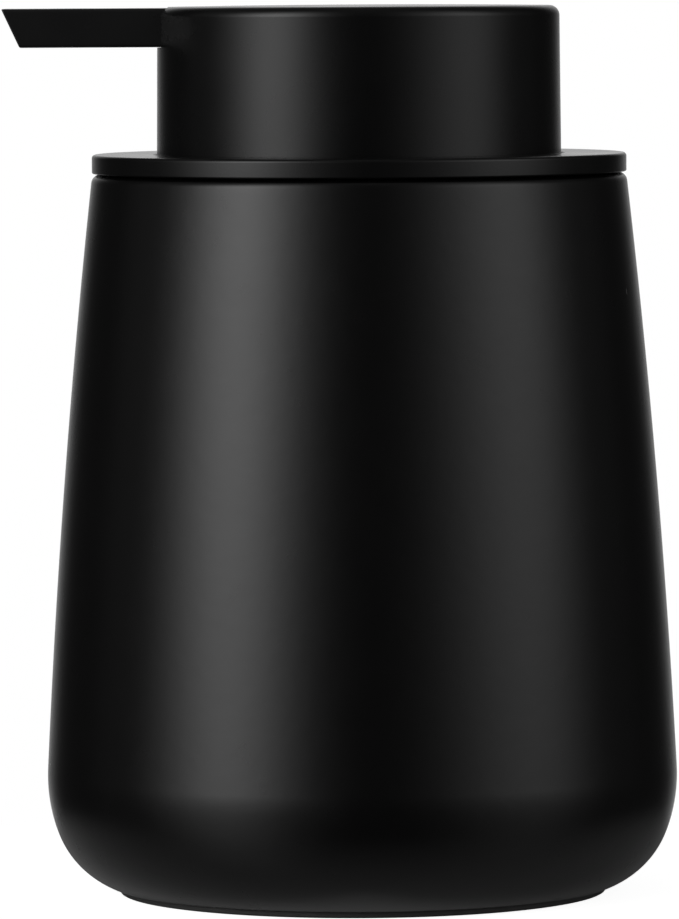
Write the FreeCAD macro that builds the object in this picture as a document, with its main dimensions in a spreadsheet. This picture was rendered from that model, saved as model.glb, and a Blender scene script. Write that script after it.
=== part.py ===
"""Soap pump dispenser: a stoneware jar with a disc lid, a plunging cylinder head and a two-ball pump.

Frame: millimetres, +Z up, origin at the centre of the base pad's underside. The spout points to -X.
"""
import FreeCAD, Part

import math
import os
import re
from typing import NamedTuple, Optional

import Sketcher

SIZES = {
    # Base pad and jar
    "pad_thickness": 1.8,
    "pad_recess": 1.0,
    "pad_fit": 0.2,
    "foot_rim": 0.55,
    "pad_round": 0.3,
    "jar_radius": 40.1,
    "jar_height": 90.7,
    "jar_wall": 4.1,
    "jar_floor": 5.0,
    "jar_inner_round": 11.0,
    "corner_radius": 11.8,
    "belly_radius": 20.5,
    "belly_slope": 0.38,
    "foot_inset": 8.35,
    "wall_slope": 0.05,
    "wall_taper": 6.2,
    "rim_wall": 4.05,
    "rim_round": 1.2,
    "mouth_land": 9.8,
    "mouth_round": 0.8,
    # Lid disc, guide cup and mouth seal
    "disc_overhang": 0.03,
    "disc_thickness": 2.4,
    "disc_top_round": 0.45,
    "disc_under_round": 0.2,
    "disc_bore_round": 0.3,
    "disc_gap": 0.1,
    "disc_recess_fit": 0.2,
    "head_clearance": 0.36,
    "cup_wall": 1.55,
    "cup_bore_step": 0.05,
    "cup_floor": 1.8,
    "cup_flange": 0.8,
    "cup_flange_step": 2.3,
    "cup_round": 1.5,
    "cup_inner_round": 1.0,
    "seal_flange": 0.35,
    "seal_setback": 1.5,
    "seal_flange_round": 0.15,
    "seal_fit": 0.05,
    "seal_wall": 1.05,
    "seal_rise": 1.2,
    "lip_count": 3,
    "lip_clearance": 0.1,
    "lip_reach": 1.0,
    "lip_margin": 0.8,
    "lip_ramp": 1.0,
    "lip_width": 0.3,
    # Head shell and its travel
    "head_draft": 0.19,
    "head_overlap": 3.5,
    "head_height": 18.65,
    "head_crown": 0.2,
    "head_wall": 2.0,
    "head_top_wall": 1.5,
    "head_round": 1.3,
    "head_inner_round": 0.8,
    "head_foot_round": 0.4,
    "press_travel": 11.5,
    "stop_clearance": 1.0,
    "core_grip_wall": 1.55,
    "core_grip_depth": 5.65,
    # Spout
    "spout_length": 19.41,
    "spout_slant": 2.3,
    "spout_width": 11.0,
    "spout_height": 4.92,
    "spout_drop": 0.12,
    "spout_round": 0.4,
    "root_gap": 0.33,
    "spout_fit": 0.1,
    "retainer_lip": 1.5,
    "retainer_drop": 1.0,
    "retainer_thickness": 1.4,
    "channel_radius": 0.9,
    "tube_floor": 0.05,
    "nozzle_step": 0.3,
    "nozzle_depth": 1.2,
    "tube_wall": 0.65,
    "port_fit": 0.05,
    "port_wall": 1.3,
    "washer_thickness": 0.8,
    # Actuator core and outlet ball
    "hub_radius": 8.0,
    "hub_fit": 0.05,
    "hub_height": 9.6,
    "hub_round": 0.8,
    "neck_wall": 1.47,
    "core_clearance": 0.8,
    "core_cap": 1.25,
    "chamber_play": 0.6,
    "stop_pin_radius": 0.9,
    "stop_pin_length": 1.1,
    "outlet_ball_radius": 2.4,
    "outlet_lift": 1.2,
    "outlet_play": 0.2,
    "seat_depth": 0.8,
    "seat_gap": 0.02,
    # Stem and piston
    "stem_radius": 3.5,
    "stem_bore": 2.0,
    "stem_fit": 0.03,
    "collar_step": 0.9,
    "collar_height": 1.0,
    "bead_step": 0.4,
    "bead_height": 0.8,
    "piston_play": 0.1,
    "piston_bore_fit": 0.05,
    "piston_height": 7.8,
    "piston_lip_reach": 0.75,
    "piston_fit": 0.05,
    "piston_lip": 1.0,
    "piston_edge": 0.6,
    # Pump barrel
    "barrel_bore": 6.0,
    "barrel_wall": 1.25,
    "barrel_flange_step": 3.75,
    "barrel_flange": 1.4,
    "chest_wall": 2.0,
    "chest_slope": 1.6,
    "ball_play": 0.6,
    "throat_radius": 1.8,
    "throat_length": 2.8,
    "socket_depth": 10.0,
    "socket_wall": 1.4,
    "socket_fit": 0.03,
    "vent_radius": 0.6,
    "vent_drop": 1.8,
    "gasket_thickness": 1.0,
    "gasket_setback": 0.4,
    "barrel_hole_fit": 0.15,
    # Lock nut
    "nut_wall": 3.2,
    "nut_height": 5.0,
    "nut_fit": 0.05,
    "nut_round": 0.5,
    "notch_radius": 0.9,
    "notch_count": 16,
    # Stem guide and wiper
    "plug_depth": 4.8,
    "plug_fit": 0.05,
    "guide_step": 2.6,
    "guide_flange": 1.5,
    "guide_round": 0.4,
    "guide_fit": 0.1,
    "wiper_wall": 1.13,
    "wiper_height": 0.9,
    "wiper_recess": 1.0,
    "wiper_fit": 0.05,
    "rest_gap": 0.6,
    # Inlet ball, its cage and the spring
    "inlet_ball_radius": 3.0,
    "inlet_lift": 1.5,
    "inlet_play": 0.24,
    "cage_disc": 1.2,
    "cage_foot": 1.0,
    "cage_ring": 1.65,
    "cage_fit": 0.05,
    "flow_hole_radius": 1.05,
    "flow_setback": 0.9,
    "flow_count": 6,
    "spring_length": 19.9,
    "spring_play": 0.2,
    "wire_radius": 0.4,
    "spring_turns": 6.5,
    # Dip tube
    "dip_radius": 3.0,
    "dip_wall": 0.8,
    "dip_clearance": 1.8,
    "dip_slant": 30,
}

# Heights and radii that follow from the sizes, each as a formula of them and of the lines above it.
LEVELS = {
    # Jar
    "foot_z": "pad_thickness - pad_recess",
    "floor_z": "pad_thickness + jar_floor",
    "rim_z": "foot_z + jar_height",
    "land_z": "rim_z - mouth_land",
    "belly_cos": "1 / sqrt(1 + belly_slope ^ 2)",
    "belly_sin": "belly_slope * belly_cos",
    "belly_centre": "jar_radius - belly_radius",
    "corner_centre": "belly_centre + (belly_radius - corner_radius) * belly_cos",
    "foot_radius": "jar_radius - foot_inset",
    "corner_z": "foot_z + sqrt(corner_radius ^ 2 - (foot_radius - corner_centre) ^ 2)",
    "belly_z": "corner_z + (belly_radius - corner_radius) * belly_sin",
    "belly_start_radius": "corner_centre + corner_radius * belly_cos",
    "belly_start_z": "corner_z - corner_radius * belly_sin",
    "recess_radius": "foot_radius - foot_rim",
    "pad_radius": "recess_radius - pad_fit",
    "rim_radius": "jar_radius - wall_taper",
    "mouth_radius": "rim_radius - rim_wall",
    "lean_cos": "1 / sqrt(1 + wall_slope ^ 2)",
    "lean_sin": "wall_slope * lean_cos",
    "wall_start_radius": "belly_centre + belly_radius * lean_cos",
    "wall_start_z": "belly_z + belly_radius * lean_sin",
    "wall_run": "wall_start_radius - rim_radius",
    "wall_rise": "rim_z - wall_start_z",
    "wall_bow": "(wall_run ^ 2 + wall_rise ^ 2) / (2 * (wall_run * lean_cos - wall_rise * lean_sin))",
    # Lid
    "seal_top": "rim_z + seal_flange",
    "flange_top": "seal_top + cup_flange",
    "disc_z": "rim_z + disc_gap",
    "disc_top": "disc_z + disc_thickness",
    "disc_radius": "rim_radius + disc_overhang",
    "cup_flange_radius": "mouth_radius + cup_flange_step",
    "seal_flange_radius": "rim_radius - seal_setback",
    "disc_recess_radius": "seal_flange_radius + disc_recess_fit",
    "seal_z": "land_z + seal_rise",
    "lip_pitch": "(rim_z - seal_z - lip_margin) / lip_count",
    "lip_radius": "mouth_radius - lip_clearance",
    "seal_body": "lip_radius - lip_reach",
    "seal_bore": "seal_body - seal_wall",
    "cup_radius": "seal_bore - seal_fit",
    "cup_bore": "cup_radius - cup_wall",
    "disc_bore": "cup_bore - cup_bore_step",
    # Head
    "head_radius": "disc_bore - head_clearance",
    "shell_radius": "head_radius - head_wall",
    "shell_z": "disc_top - head_overlap",
    "head_top": "disc_top + head_height",
    "head_top_radius": "head_radius - head_draft",
    "head_crest": "head_top + head_crown",
    "head_bow": "(head_top_radius ^ 2 + head_crown ^ 2) / (2 * head_crown)",
    "ceiling_z": "head_top - head_top_wall",
    "grip_bore": "hub_radius + hub_fit",
    "grip_radius": "grip_bore + core_grip_wall",
    "grip_z": "ceiling_z - core_grip_depth",
    "spout_top": "head_top - spout_drop",
    "spout_z": "spout_top - spout_height",
    "spout_reach": "head_radius + spout_length",
    "spout_notch": "head_top_radius - head_round",
    "notch_outside": "head_radius + head_wall",
    "notch_above": "head_crest + head_wall",
    "retainer_width": "spout_width + 2 * retainer_lip",
    "spout_root": "sqrt((shell_radius - head_draft) ^ 2 - (retainer_width / 2) ^ 2) - root_gap",
    "nozzle_radius": "channel_radius + nozzle_step",
    "tube_radius": "channel_radius + tube_wall",
    "channel_z": "spout_z + tube_floor + tube_radius",
    "spout_ledge": "ceiling_z - spout_fit",
    "retainer_z": "spout_z - retainer_drop",
    "retainer_top": "spout_ledge - head_inner_round",
    # Pump stack, from the cup floor
    "cup_floor_top": "shell_z - press_travel - stop_clearance",
    "cup_floor_z": "cup_floor_top - cup_floor",
    "barrel_radius": "barrel_bore + barrel_wall",
    "barrel_hole": "barrel_radius + barrel_hole_fit",
    "barrel_flange_radius": "barrel_radius + barrel_flange_step",
    "gasket_radius": "barrel_flange_radius - gasket_setback",
    "nut_bore": "barrel_radius + nut_fit",
    "nut_radius": "nut_bore + nut_wall",
    "plug_radius": "barrel_bore - plug_fit",
    "guide_bore": "stem_radius + guide_fit",
    "guide_radius": "barrel_bore + guide_step",
    "wiper_bore": "stem_radius + wiper_fit",
    "wiper_radius": "wiper_bore + wiper_wall",
    "wiper_seat": "wiper_radius + wiper_fit",
    "gasket_top": "cup_floor_top + gasket_thickness",
    "barrel_top": "gasket_top + barrel_flange",
    "guide_top": "barrel_top + guide_flange",
    "wiper_z": "guide_top - wiper_recess",
    "nut_z": "cup_floor_z - nut_height",
    "plug_z": "barrel_top - plug_depth",
    "collar_top": "plug_z - rest_gap",
    "collar_z": "collar_top - collar_height",
    "piston_top": "collar_z - piston_play",
    "piston_z": "piston_top - piston_height",
    "bead_top": "piston_z - piston_play",
    "stem_z": "bead_top - bead_height",
    "collar_radius": "stem_radius + collar_step",
    "bead_radius": "stem_radius + bead_step",
    "spring_radius": "bead_radius + spring_play + wire_radius",
    "coil_height": "spring_length - 2 * wire_radius",
    "piston_bore": "stem_radius + piston_bore_fit",
    "piston_radius": "barrel_bore - piston_fit",
    "piston_waist": "piston_radius - piston_lip_reach",
    "cage_radius": "barrel_bore - cage_fit",
    "cage_inner": "cage_radius - cage_ring",
    "ball_bore": "inlet_ball_radius + ball_play",
    "flow_circle": "ball_bore - flow_setback",
    "dip_bore": "dip_radius - dip_wall",
    "cage_top": "piston_z - spring_length",
    "cage_z": "cage_top - cage_disc",
    "shoulder_z": "cage_z - cage_foot",
    "inlet_ball_z": "cage_z - inlet_play - inlet_lift - inlet_ball_radius",
    "throat_z": "inlet_ball_z - seat_gap - inlet_ball_radius * sqrt(2) + throat_radius",
    "cone_top": "throat_z + ball_bore - throat_radius",
    "chest_radius": "ball_bore + chest_wall",
    "socket_top": "throat_z - throat_length",
    "socket_z": "socket_top - socket_depth",
    "socket_bore": "dip_radius + socket_fit",
    "socket_radius": "socket_bore + socket_wall",
    "dip_z": "floor_z + dip_clearance",
    "slant_block": "4 * dip_radius",
    "slant_high_z": "dip_z + 2 * dip_radius * tan(dip_slant * 1deg)",
    # Actuator core and stem, from the ceiling of the head
    "stem_socket": "stem_radius + stem_fit",
    "neck_radius": "stem_socket + neck_wall",
    "chamber_radius": "outlet_ball_radius + chamber_play",
    "port_depth": "chamber_radius + port_wall",
    "core_z": "guide_top + press_travel + core_clearance",
    "hub_z": "ceiling_z - hub_height",
    "chamber_top": "ceiling_z - core_cap",
    "stop_z": "chamber_top - stop_pin_length",
    "outlet_ball_z": "stop_z - outlet_play - outlet_lift - outlet_ball_radius",
    "seat_z": "outlet_ball_z - seat_gap - outlet_ball_radius * sqrt(2) + stem_bore",
    "stem_top": "seat_z + seat_depth",
}

UP = FreeCAD.Vector(0, 0, 1)
NAME = re.compile(r"[a-z_]\w*")
ROOT_POINT = (-1, 1)


class Corner(NamedTuple):
    """One corner of an outline: its place, its rounding, and the bow of the side that follows it."""

    across: str
    up: str
    rounding: Optional[str] = None
    bow: Optional[str] = None


class Side(NamedTuple):
    """One drawn side of an outline, with the point numbers of its two ends."""

    index: int
    first: int
    last: int


document = FreeCAD.newDocument("SoapPumpDispenser")


def sized(formula, levels_sheet="Levels."):
    """Return the formula with each size and level written as a reference to its sheet's cell."""

    def reference(match):
        word = match.group(0)
        if word in SIZES:
            return "Sizes." + word
        if word in LEVELS:
            return levels_sheet + word
        return word

    return NAME.sub(reference, formula)


def make_sheet(name, cells):
    """Make a sheet with one aliased cell in column A for each entry."""
    sheet = document.addObject("Spreadsheet::Sheet", name)
    for row, (alias, content) in enumerate(cells.items(), start=1):
        sheet.set(f"A{row}", str(content))
        sheet.setAlias(f"A{row}", alias)
    document.recompute()
    return sheet


sizes = make_sheet("Sizes", SIZES)
levels = make_sheet("Levels", {name: "=" + sized(formula, "") for name, formula in LEVELS.items()})


def value(formula):
    """Return the present number of a formula."""
    return float(levels.evalExpression(sized(formula)))


def make_body(name):
    """Make an empty body whose label is the sub-part's name."""
    body = document.addObject("PartDesign::Body", name + "_body")
    body.Label = name
    return body


def make_sketch(body, name, plane, offset="0"):
    """Make a sketch on one of the body's own origin planes, moved along the plane's normal."""
    sketch = body.newObject("Sketcher::SketchObject", name)
    support = next(item for item in body.Origin.OriginFeatures if item.Role == plane)
    sketch.AttachmentSupport = [(support, "")]
    sketch.MapMode = "FlatFace"
    sketch.setExpression(".AttachmentOffset.Base.z", sized(offset))
    return sketch


def bind(sketch, kind, place, formula):
    """Add one dimension to the sketch and bind it to the formula."""
    row = sketch.addConstraint(Sketcher.Constraint(kind, *place, value(formula)))
    sketch.setExpression(f"Constraints[{row}]", sized(formula))


def pin_down(sketch, index, point, corner):
    """Bind a point of the sketch to the corner's place.

    In a sketch's constraints, curve -1 is its own horizontal axis and curve -2 its vertical one.
    """
    if corner.across == "0":
        sketch.addConstraint(Sketcher.Constraint("PointOnObject", index, point, -2))
    else:
        bind(sketch, "DistanceX", (*ROOT_POINT, index, point), corner.across)
    if corner.up == "0":
        sketch.addConstraint(Sketcher.Constraint("PointOnObject", index, point, -1))
    else:
        bind(sketch, "DistanceY", (*ROOT_POINT, index, point), corner.up)


def add_arc(sketch, centre, radius, start, end, left_turn):
    """Draw an arc from start to end, turning left (anticlockwise) or right."""
    first, last = (start, end) if left_turn else (end, start)
    angles = [math.atan2(point.y - centre.y, point.x - centre.x) for point in (first, last)]
    arc = Part.ArcOfCircle(Part.Circle(centre, UP, radius), *angles)
    index = sketch.addGeometry(arc)
    return Side(index, 1, 2) if left_turn else Side(index, 2, 1)


def bowed_side(sketch, start, end, formula, to_left):
    """Draw an arc from start to end that bows to the left or to the right of the straight way."""
    radius = value(formula)
    chord = end - start
    right = FreeCAD.Vector(chord.y, -chord.x, 0).normalize()
    depth = math.sqrt(radius ** 2 - (chord.Length / 2) ** 2)
    centre = (start + end) * 0.5 + right * (depth if to_left else -depth)
    side = add_arc(sketch, centre, radius, start, end, not to_left)
    bind(sketch, "Radius", (side.index,), formula)
    return side


def draw_outline(sketch, corners):
    """Draw a closed outline through the corners, every corner bound to its formulas.

    A rounded corner keeps its sharp place as a construction point that both of its sides aim at. A
    bow formula that starts with a minus sign bows the side to the left instead of to the right.
    """
    count = len(corners)
    sharp = [FreeCAD.Vector(value(corner.across), value(corner.up), 0) for corner in corners]
    leave, arrive = [], []
    for i, corner in enumerate(corners):
        cut = 0.0
        if corner.rounding:
            back = (sharp[i - 1] - sharp[i]).normalize()
            ahead = (sharp[(i + 1) % count] - sharp[i]).normalize()
            half = back.getAngle(ahead) / 2
            cut = value(corner.rounding) / math.tan(half)
            arrive.append(sharp[i] + back * cut)
            leave.append(sharp[i] + ahead * cut)
        else:
            arrive.append(sharp[i])
            leave.append(sharp[i])
    sides = []
    for i, corner in enumerate(corners):
        start, end = leave[i], arrive[(i + 1) % count]
        if corner.bow is None:
            index = sketch.addGeometry(Part.LineSegment(start, end))
            sides.append(Side(index, 1, 2))
        else:
            to_left = corner.bow.startswith("-")
            sides.append(bowed_side(sketch, start, end, corner.bow.lstrip("-"), to_left))
    for i, corner in enumerate(corners):
        before, after = sides[i - 1], sides[i]
        if not corner.rounding:
            joined = (before.index, before.last, after.index, after.first)
            sketch.addConstraint(Sketcher.Constraint("Coincident", *joined))
            pin_down(sketch, after.index, after.first, corner)
            continue
        radius = value(corner.rounding)
        back = (arrive[i] - sharp[i]).normalize()
        ahead = (leave[i] - sharp[i]).normalize()
        middle = (back + ahead).normalize()
        centre = sharp[i] + middle * (radius / math.sin(back.getAngle(ahead) / 2))
        left_turn = (sharp[i] - arrive[i]).cross(leave[i] - sharp[i]).z > 0
        arc = add_arc(sketch, centre, radius, arrive[i], leave[i], left_turn)
        mark = sketch.addGeometry(Part.Point(sharp[i]), True)
        for side in (before, after):
            sketch.addConstraint(Sketcher.Constraint("PointOnObject", mark, 1, side.index))
        ends = (before.index, before.last, arc.index, arc.first)
        sketch.addConstraint(Sketcher.Constraint("Tangent", *ends))
        ends = (arc.index, arc.last, after.index, after.first)
        sketch.addConstraint(Sketcher.Constraint("Tangent", *ends))
        pin_down(sketch, mark, 1, corner)
        bind(sketch, "Radius", (arc.index,), corner.rounding)


def draw_circle(sketch, across, up, radius):
    """Draw one circle bound to its formulas."""
    centre = FreeCAD.Vector(value(across), value(up), 0)
    index = sketch.addGeometry(Part.Circle(centre, UP, value(radius)))
    pin_down(sketch, index, 3, Corner(across, up))
    bind(sketch, "Radius", (index,), radius)


def turn(body, corners):
    """Revolve an outline of radius and height about the body's vertical axis."""
    sketch = make_sketch(body, body.Label + "_section", "XZ_Plane")
    draw_outline(sketch, corners)
    feature = body.newObject("PartDesign::Revolution", body.Label + "_turned")
    feature.Profile = sketch
    feature.ReferenceAxis = (sketch, ["V_Axis"])
    feature.Angle = 360
    document.recompute()
    return feature


def turned_body(name, corners):
    """Make a body that is one turned outline."""
    body = make_body(name)
    turn(body, corners)
    return body


def cut(body, name, sketch, length=None, reversed_way=False, midplane=False):
    """Cut a sketch out of the body, and check that it removed material.

    Without a length the cut goes both ways through all of the body. With midplane its length is
    shared between the two sides of the sketch.
    """
    before = body.Shape.Volume
    pocket = body.newObject("PartDesign::Pocket", name)
    pocket.Profile = sketch
    pocket.Reversed = reversed_way
    if length is None:
        pocket.Type = "ThroughAll"
        pocket.Midplane = True
    else:
        pocket.Type = "Length"
        pocket.Midplane = midplane
        pocket.setExpression("Length", sized(length))
    document.recompute()
    if body.Shape.Volume >= before:
        raise RuntimeError(f"{name} removed nothing from {body.Label}")
    return pocket


def repeat(body, feature, count):
    """Repeat a feature about the body's vertical axis."""
    pattern = body.newObject("PartDesign::PolarPattern", feature.Name + "_ring")
    pattern.Originals = [feature]
    axis = next(item for item in body.Origin.OriginFeatures if item.Role == "Z_Axis")
    pattern.Axis = (axis, [""])
    pattern.Angle = 360
    pattern.setExpression("Occurrences", sized(count))
    body.Tip = pattern
    document.recompute()


def make_jar():
    """Stoneware jar: bowed wall, round belly and lower corner, pad recess and a straight mouth."""
    return turned_body("jar", [
        Corner("0", "pad_thickness"),
        Corner("recess_radius", "pad_thickness"),
        Corner("recess_radius", "foot_z"),
        Corner("foot_radius", "foot_z", bow="corner_radius"),
        Corner("belly_start_radius", "belly_start_z", bow="belly_radius"),
        Corner("wall_start_radius", "wall_start_z", bow="wall_bow"),
        Corner("rim_radius", "rim_z", rounding="rim_round"),
        Corner("mouth_radius", "rim_z", rounding="mouth_round"),
        Corner("mouth_radius", "land_z", bow="-wall_bow"),
        Corner("jar_radius - jar_wall", "floor_z", rounding="jar_inner_round"),
        Corner("0", "floor_z"),
    ])


def make_base_pad():
    """Soft round pad that the jar stands on, in the recess under the jar."""
    return turned_body("base_pad", [
        Corner("0", "0"),
        Corner("pad_radius", "0", rounding="pad_round"),
        Corner("pad_radius", "pad_thickness"),
        Corner("0", "pad_thickness"),
    ])


def make_lid_disc():
    """Cover disc whose recess below hides the flanges of the cup and the seal."""
    return turned_body("lid_disc", [
        Corner("disc_bore", "flange_top"),
        Corner("disc_recess_radius", "flange_top"),
        Corner("disc_recess_radius", "disc_z"),
        Corner("disc_radius", "disc_z", rounding="disc_under_round"),
        Corner("disc_radius", "disc_top", rounding="disc_top_round"),
        Corner("disc_bore", "disc_top", rounding="disc_bore_round"),
    ])


def make_guide_cup():
    """Cup under the disc: the head plunges into it, and its floor carries the pump."""
    return turned_body("guide_cup", [
        Corner("cup_radius", "cup_floor_z", rounding="cup_round"),
        Corner("cup_radius", "seal_top"),
        Corner("cup_flange_radius", "seal_top"),
        Corner("cup_flange_radius", "flange_top"),
        Corner("cup_bore", "flange_top"),
        Corner("cup_bore", "cup_floor_top", rounding="cup_inner_round"),
        Corner("barrel_hole", "cup_floor_top"),
        Corner("barrel_hole", "cup_floor_z"),
    ])


def make_mouth_seal():
    """Silicone ring on the cup: a flange that rests on the rim and three lips in the mouth."""
    corners = [Corner("seal_bore", "seal_z"), Corner("seal_body", "seal_z")]
    for lip in range(SIZES["lip_count"]):
        foot = f"seal_z + lip_width + {lip} * lip_pitch"
        corners.append(Corner("seal_body", foot))
        corners.append(Corner("lip_radius", f"{foot} + lip_ramp"))
        corners.append(Corner("lip_radius", f"{foot} + lip_ramp + lip_width"))
        corners.append(Corner("seal_body", f"{foot} + lip_ramp + 2 * lip_width"))
    corners.append(Corner("seal_body", "rim_z"))
    corners.append(Corner("seal_flange_radius", "rim_z", rounding="seal_flange_round"))
    corners.append(Corner("seal_flange_radius", "seal_top"))
    corners.append(Corner("seal_bore", "seal_top"))
    return turned_body("mouth_seal", corners)


def make_pump_gasket():
    """Flat washer between the cup floor and the barrel's flange."""
    return turned_body("pump_gasket", [
        Corner("barrel_hole", "cup_floor_top"),
        Corner("gasket_radius", "cup_floor_top"),
        Corner("gasket_radius", "gasket_top"),
        Corner("barrel_hole", "gasket_top"),
    ])


def make_pump_housing():
    """Pump barrel: flange, bore, inlet ball's chest with its cone seat, and the tube's socket."""
    body = turned_body("pump_housing", [
        Corner("barrel_bore", "shoulder_z"),
        Corner("ball_bore", "shoulder_z"),
        Corner("ball_bore", "cone_top"),
        Corner("throat_radius", "throat_z"),
        Corner("throat_radius", "socket_top"),
        Corner("socket_bore", "socket_top"),
        Corner("socket_bore", "socket_z"),
        Corner("socket_radius", "socket_z"),
        Corner("socket_radius", "throat_z - chest_slope"),
        Corner("chest_radius", "throat_z"),
        Corner("chest_radius", "shoulder_z - chest_slope"),
        Corner("barrel_radius", "shoulder_z"),
        Corner("barrel_radius", "gasket_top"),
        Corner("barrel_flange_radius", "gasket_top"),
        Corner("barrel_flange_radius", "barrel_top"),
        Corner("barrel_bore", "barrel_top"),
    ])
    sketch = make_sketch(body, "vent_circle", "YZ_Plane")
    draw_circle(sketch, "0", "nut_z - vent_drop", "vent_radius")
    cut(body, "vent", sketch, "barrel_radius + vent_radius", reversed_way=True)
    return body


def make_lock_nut():
    """Round nut with grip notches that clamps the barrel to the cup floor from below."""
    body = turned_body("lock_nut", [
        Corner("nut_bore", "nut_z"),
        Corner("nut_radius", "nut_z", rounding="nut_round"),
        Corner("nut_radius", "cup_floor_z"),
        Corner("nut_bore", "cup_floor_z"),
    ])
    sketch = make_sketch(body, "notch_circle", "XY_Plane")
    draw_circle(sketch, "nut_radius", "0", "notch_radius")
    notch = cut(body, "notch", sketch)
    repeat(body, notch, "notch_count")
    return body


def make_stem_guide():
    """Collar plugged into the barrel's top; it guides the stem and holds the wiper."""
    return turned_body("stem_guide", [
        Corner("guide_bore", "plug_z"),
        Corner("plug_radius", "plug_z"),
        Corner("plug_radius", "barrel_top"),
        Corner("guide_radius", "barrel_top"),
        Corner("guide_radius", "guide_top", rounding="guide_round"),
        Corner("wiper_seat", "guide_top"),
        Corner("wiper_seat", "wiper_z"),
        Corner("guide_bore", "wiper_z"),
    ])


def make_stem_wiper():
    """Small ring that wipes the stem, in the recess of the stem guide."""
    return turned_body("stem_wiper", [
        Corner("wiper_bore", "wiper_z"),
        Corner("wiper_radius", "wiper_z"),
        Corner("wiper_radius", "wiper_z + wiper_height"),
        Corner("wiper_bore", "wiper_z + wiper_height"),
    ])


def make_ball_cage():
    """Perforated disc on the barrel's shoulder: ball stop below, spring seat above."""
    body = turned_body("ball_cage", [
        Corner("0", "cage_z"),
        Corner("cage_inner", "cage_z"),
        Corner("cage_inner", "shoulder_z"),
        Corner("cage_radius", "shoulder_z"),
        Corner("cage_radius", "cage_top"),
        Corner("0", "cage_top"),
    ])
    sketch = make_sketch(body, "flow_circle_sketch", "XY_Plane")
    draw_circle(sketch, "flow_circle", "0", "flow_hole_radius")
    hole = cut(body, "flow_hole", sketch)
    repeat(body, hole, "flow_count")
    return body


def make_ball(name, radius, height):
    """Steel ball on the pump's axis."""
    ball = document.addObject("Part::Sphere", name)
    ball.Label = name
    ball.setExpression("Radius", sized(radius))
    ball.setExpression(".Placement.Base.z", sized(height))
    return ball


def make_dip_tube():
    """Straight tube from the barrel's socket to just above the jar's floor, cut at a slant."""
    outer = document.addObject("Part::Cylinder", "dip_tube_outside")
    inner = document.addObject("Part::Cylinder", "dip_tube_inside")
    for cylinder, radius in ((outer, "dip_radius"), (inner, "dip_bore")):
        cylinder.setExpression("Radius", sized(radius))
        cylinder.setExpression("Height", sized("socket_top - dip_z"))
        cylinder.setExpression(".Placement.Base.z", sized("dip_z"))
    hollow = document.addObject("Part::Cut", "dip_tube_hollow")
    hollow.Base = outer
    hollow.Tool = inner
    slant = document.addObject("Part::Box", "dip_tube_slant")
    for side in ("Length", "Width", "Height"):
        slant.setExpression(side, sized("slant_block"))
    slant.Placement.Rotation = FreeCAD.Rotation(FreeCAD.Vector(0, 1, 0), 0)
    slant.setExpression(".Placement.Rotation.Axis.y", "1")
    slant.setExpression(".Placement.Rotation.Angle", sized("dip_slant"))
    slant.setExpression(".Placement.Base.x", sized("-dip_radius - slant_block * sin(dip_slant * 1deg)"))
    slant.setExpression(".Placement.Base.y", sized("-slant_block / 2"))
    slant.setExpression(".Placement.Base.z", sized("slant_high_z - slant_block * cos(dip_slant * 1deg)"))
    tube = document.addObject("Part::Cut", "dip_tube")
    tube.Label = "dip_tube"
    tube.Base = hollow
    tube.Tool = slant
    return tube


def make_return_spring():
    """Compression spring between the ball cage and the piston."""
    coil = document.addObject("Part::Helix", "spring_path")
    coil.setExpression("Radius", sized("spring_radius"))
    coil.setExpression("Height", sized("coil_height"))
    coil.setExpression("Pitch", sized("coil_height / spring_turns"))
    coil.SegmentLength = 1
    document.recompute()
    wire = document.addObject("Part::Circle", "spring_wire")
    wire.setExpression("Radius", sized("wire_radius"))
    wire.Placement.Rotation = FreeCAD.Rotation(FreeCAD.Vector(1, 0, 0), 90)
    wire.setExpression(".Placement.Base.x", sized("spring_radius"))
    spring = document.addObject("Part::Sweep", "return_spring")
    spring.Label = "return_spring"
    spring.Sections = [wire]
    spring.Spine = (coil, [f"Edge{number}" for number in range(1, len(coil.Shape.Edges) + 1)])
    spring.Solid = True
    spring.Frenet = True
    spring.setExpression(".Placement.Base.z", sized("cage_top + wire_radius"))
    return spring


def make_piston():
    """Piston seal on the stem, with a wiping lip at each end and a waist between them."""
    lower = "piston_z + piston_edge"
    upper = "piston_top - piston_edge"
    return turned_body("piston", [
        Corner("piston_bore", "piston_z"),
        Corner("piston_waist", "piston_z"),
        Corner("piston_radius", lower),
        Corner("piston_radius", f"{lower} + piston_lip"),
        Corner("piston_waist", f"{lower} + 2 * piston_lip"),
        Corner("piston_waist", f"{upper} - 2 * piston_lip"),
        Corner("piston_radius", f"{upper} - piston_lip"),
        Corner("piston_radius", upper),
        Corner("piston_waist", "piston_top"),
        Corner("piston_bore", "piston_top"),
    ])


def make_stem():
    """Hollow stem with a bead and a collar that hold the piston, and the outlet ball's seat on top."""
    return turned_body("stem", [
        Corner("stem_bore", "stem_z"),
        Corner("bead_radius", "stem_z"),
        Corner("bead_radius", "bead_top"),
        Corner("stem_radius", "bead_top"),
        Corner("stem_radius", "collar_z"),
        Corner("collar_radius", "collar_z"),
        Corner("collar_radius", "collar_top"),
        Corner("stem_radius", "collar_top"),
        Corner("stem_radius", "stem_top"),
        Corner("stem_bore + seat_depth", "stem_top"),
        Corner("stem_bore", "seat_z"),
    ])


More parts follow.
